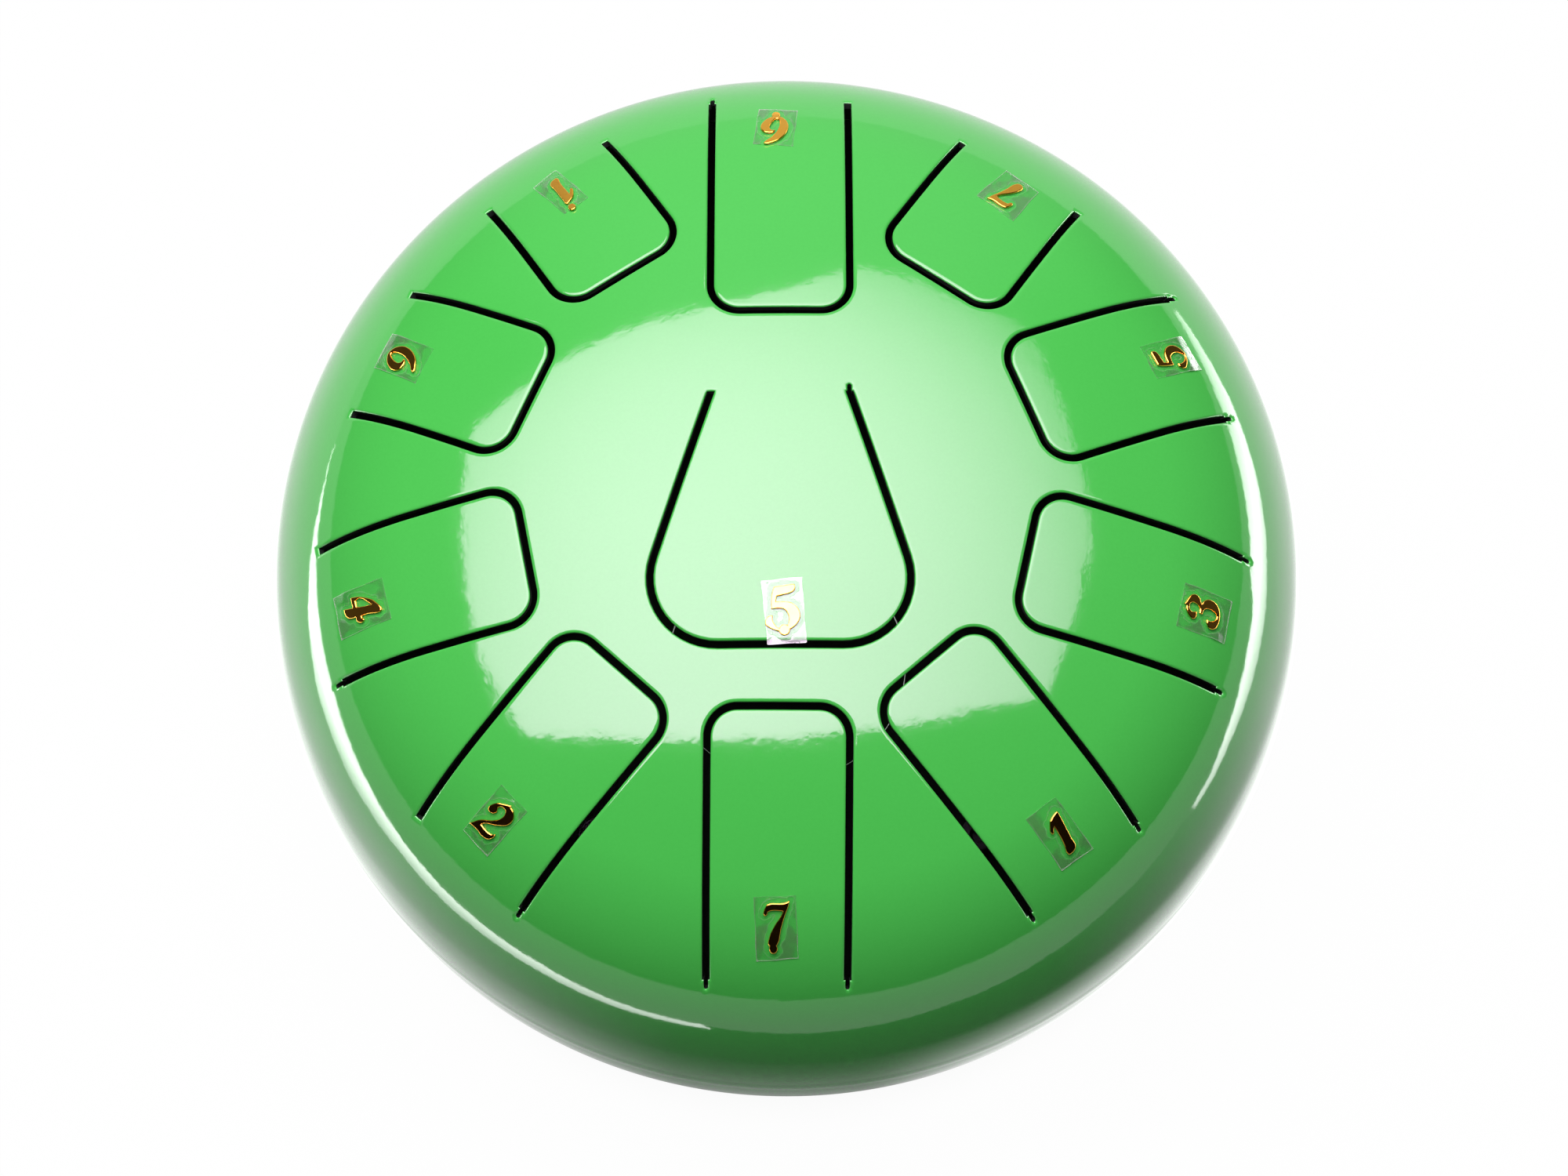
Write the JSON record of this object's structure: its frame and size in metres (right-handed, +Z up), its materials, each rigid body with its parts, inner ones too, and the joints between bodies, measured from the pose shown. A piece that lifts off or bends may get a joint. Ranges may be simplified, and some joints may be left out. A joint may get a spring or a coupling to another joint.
{
  "type": "steel tongue drum",
  "caption": "Steel tongue drum: two pressed bowls welded rim to rim, with slotted tongues that ring when struck, numerals on clear film, a sound hole and rubber feet.",
  "frame": {"origin": "centre of the drum's footprint, at the height of the bottoms of its feet", "axes": "+Z up along the drum's axis; the middle tongue's free end points to -Y and its root to +Y"},
  "size_m": [0.255, 0.255, 0.162],
  "materials": {
    "lacquer": "gloss",
    "film": "gloss",
    "foil": "polished",
    "rubber": "matte",
    "bare_steel": "satin"
  },
  "bodies": {
    "bowls": {"top_shell": "lacquer", "bottom_shell": "lacquer", "seam_weld": "lacquer", "rubber_feet": "rubber", "foot_bosses": "bare_steel", "foot_washers": "bare_steel", "foot_screws": "bare_steel"},
    "tongue_low5": {"tongue_low5": "lacquer", "film_low5": "film", "numeral_low5": "foil"},
    "tongue_low6": {"tongue_low6": "lacquer", "film_low6": "film", "numeral_low6": "foil"},
    "tongue_low7": {"tongue_low7": "lacquer", "film_low7": "film", "numeral_low7": "foil"},
    "tongue_1": {"tongue_1": "lacquer", "film_1": "film", "numeral_1": "foil"},
    "tongue_2": {"tongue_2": "lacquer", "film_2": "film", "numeral_2": "foil"},
    "tongue_3": {"tongue_3": "lacquer", "film_3": "film", "numeral_3": "foil"},
    "tongue_4": {"tongue_4": "lacquer", "film_4": "film", "numeral_4": "foil"},
    "tongue_5": {"tongue_5": "lacquer", "film_5": "film", "numeral_5": "foil"},
    "tongue_6": {"tongue_6": "lacquer", "film_6": "film", "numeral_6": "foil"},
    "tongue_7": {"tongue_7": "lacquer", "film_7": "film", "numeral_7": "foil"},
    "tongue_high1": {"tongue_high1": "lacquer", "film_high1": "film", "numeral_high1": "foil"}
  },
  "joints": [
    {"name": "bend_low5", "type": "hinge", "parent": "bowls", "child": "tongue_low5", "pos_m": [-0.0015, 0.0255, 0.1597], "axis": [-1, 0, 0], "range_deg": [-1, 1], "stiffness_Nm_per_rad": 295},
    {"name": "bend_low6", "type": "hinge", "parent": "bowls", "child": "tongue_low6", "pos_m": [-0.0015, 0.1095, 0.13171], "axis": [-1, 0, 0], "range_deg": [-1, 1], "stiffness_Nm_per_rad": 206},
    {"name": "bend_low7", "type": "hinge", "parent": "bowls", "child": "tongue_low7", "pos_m": [-0.00246, -0.1105, 0.13067], "axis": [1, -0.0087, 0], "range_deg": [-1, 1], "stiffness_Nm_per_rad": 217},
    {"name": "bend_1", "type": "hinge", "parent": "bowls", "child": "tongue_1", "pos_m": [0.06994, -0.08414, 0.13181], "axis": [0.7604, 0.6494, 0], "range_deg": [-1, 1], "stiffness_Nm_per_rad": 224},
    {"name": "bend_2", "type": "hinge", "parent": "bowls", "child": "tongue_2", "pos_m": [-0.0751, -0.08225, 0.12973], "axis": [0.7431, -0.6691, 0], "range_deg": [-1, 1], "stiffness_Nm_per_rad": 237},
    {"name": "bend_3", "type": "hinge", "parent": "bowls", "child": "tongue_3", "pos_m": [0.10589, -0.02431, 0.13257], "axis": [0.2164, 0.9763, 0], "range_deg": [-1, 1], "stiffness_Nm_per_rad": 259},
    {"name": "bend_4", "type": "hinge", "parent": "bowls", "child": "tongue_4", "pos_m": [-0.10948, -0.02149, 0.12952], "axis": [0.1908, -0.9816, 0], "range_deg": [-1, 1], "stiffness_Nm_per_rad": 267},
    {"name": "bend_5", "type": "hinge", "parent": "bowls", "child": "tongue_5", "pos_m": [0.09976, 0.04248, 0.13278], "axis": [-0.3907, 0.9205, 0], "range_deg": [-1, 1], "stiffness_Nm_per_rad": 282},
    {"name": "bend_6", "type": "hinge", "parent": "bowls", "child": "tongue_6", "pos_m": [-0.09841, 0.04367, 0.13349], "axis": [-0.4147, -0.91, 0], "range_deg": [-1, 1], "stiffness_Nm_per_rad": 313},
    {"name": "bend_7", "type": "hinge", "parent": "bowls", "child": "tongue_7", "pos_m": [0.05728, 0.08831, 0.13557], "axis": [-0.8339, 0.5519, 0], "range_deg": [-1, 1], "stiffness_Nm_per_rad": 334},
    {"name": "bend_high1", "type": "hinge", "parent": "bowls", "child": "tongue_high1", "pos_m": [-0.05872, 0.08932, 0.13418], "axis": [-0.8434, -0.5373, 0], "range_deg": [-1, 1], "stiffness_Nm_per_rad": 348}
  ]
}
